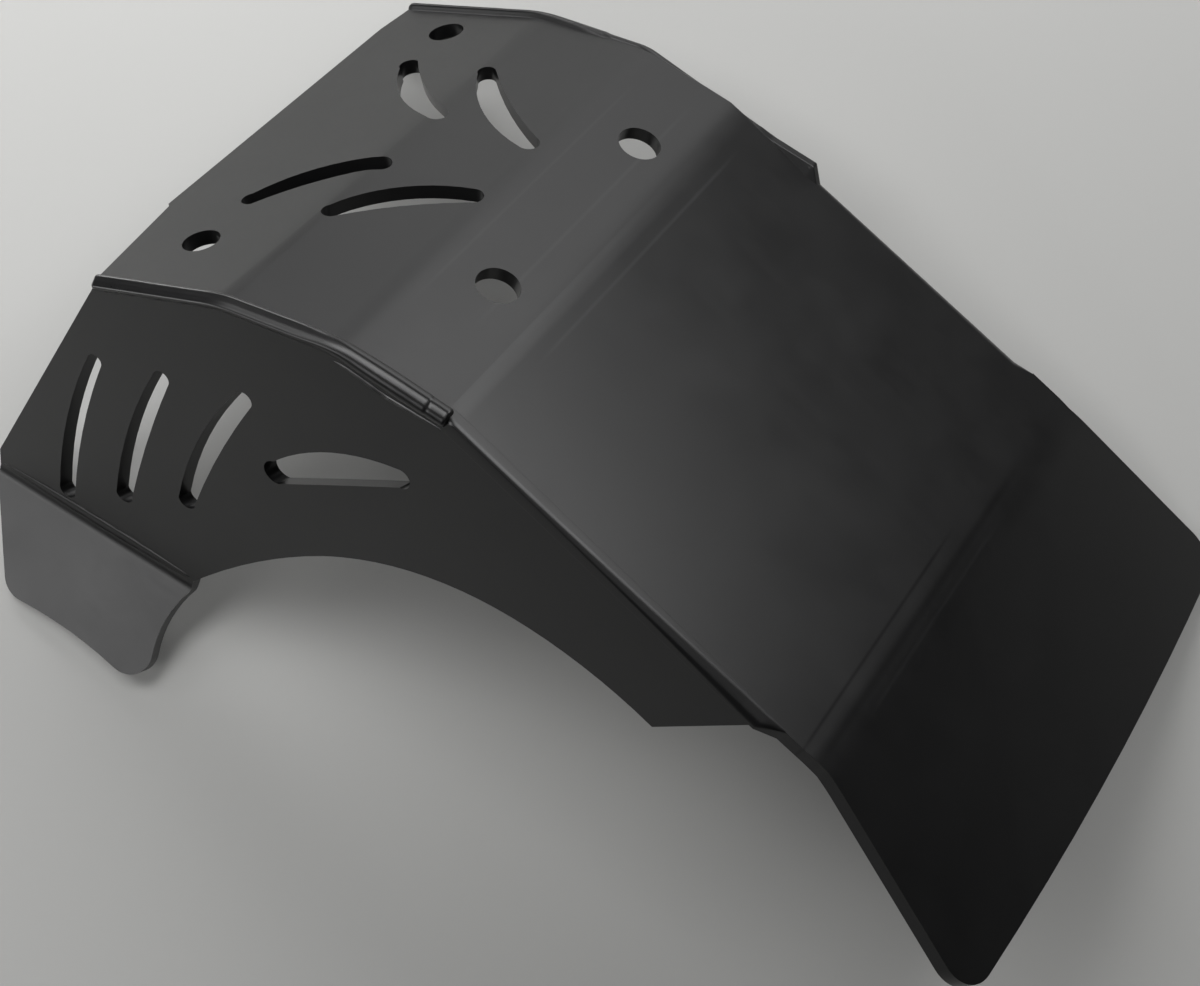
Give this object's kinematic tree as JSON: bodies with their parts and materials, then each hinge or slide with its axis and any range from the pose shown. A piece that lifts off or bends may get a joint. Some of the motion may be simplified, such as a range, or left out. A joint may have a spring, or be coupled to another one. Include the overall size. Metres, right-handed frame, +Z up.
{
  "type": "motorcycle skid plate",
  "caption": "Folded black plastic skid plate with bent nose, welded corners, a low far rim and a tall slotted side wall with a flared foot, to guard the engine's underside.",
  "frame": {"origin": "under the middle of the bounding box, on the ground the plate lies on", "axes": "+X along the plate toward its tail, +Y toward the low rim, +Z up; the plate lies outer face up on its foot, the far rim and a tail corner"},
  "size_m": [0.4348, 0.35, 0.19],
  "materials": {
    "sheet": "satin moulded sheet"
  },
  "bodies": {
    "root": {"skid_plate": "sheet"}
  },
  "joints": []
}
